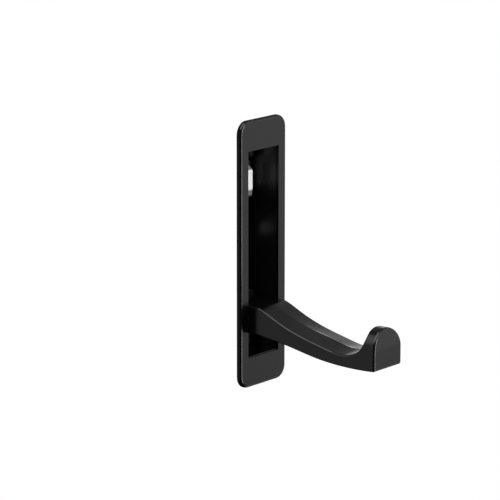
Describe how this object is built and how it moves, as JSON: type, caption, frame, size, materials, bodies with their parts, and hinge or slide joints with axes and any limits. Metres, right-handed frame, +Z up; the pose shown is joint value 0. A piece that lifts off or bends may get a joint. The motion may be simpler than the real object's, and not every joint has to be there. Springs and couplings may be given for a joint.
{
  "type": "folding wall hook",
  "caption": "Flush-mounted black coat hook that folds up into a slotted face plate, with a catch and cushioned stops.",
  "frame": {"origin": "middle of the two fixing holes, on the housing's outer rear face", "axes": "+Z up along the plate, +Y back into the wall, +X to the right when facing the wall; the hook points along -Y"},
  "size_m": [0.029, 0.0786, 0.11],
  "materials": {
    "plate_black": "smooth satin black coating",
    "hook_black": "smooth satin black coating",
    "housing_black": "matt black coating",
    "pin_steel": "ground steel",
    "clip_steel": "oiled spring steel",
    "spring_steel": "bright rolled spring steel",
    "rivet_steel": "zinc-plated",
    "pad_rubber": "moulded matt rubber",
    "buffer_rubber": "moulded matt rubber",
    "bush_nylon": "moulded nylon",
    "screw_steel": "zinc-plated"
  },
  "bodies": {
    "frame": {"face_plate": "plate_black", "recess_housing": "housing_black", "pivot_pin": "pin_steel", "pin_clip": "clip_steel", "catch_spring": "spring_steel", "catch_rivet": "rivet_steel", "open_stop_pad": "pad_rubber", "fold_buffer_left": "buffer_rubber", "fold_buffer_right": "buffer_rubber", "plate_screw_top_left": "screw_steel", "plate_screw_top_right": "screw_steel", "plate_screw_low_left": "screw_steel", "plate_screw_low_right": "screw_steel"},
    "arm": {"hook": "hook_black", "hub_bush_left": "bush_nylon", "hub_bush_right": "bush_nylon"}
  },
  "joints": [
    {"name": "hook_hinge", "type": "hinge", "parent": "frame", "child": "arm", "pos_m": [0, -0.0107, -0.0262], "axis": [-1, 0, 0], "range_deg": [0, 92.5]}
  ]
}
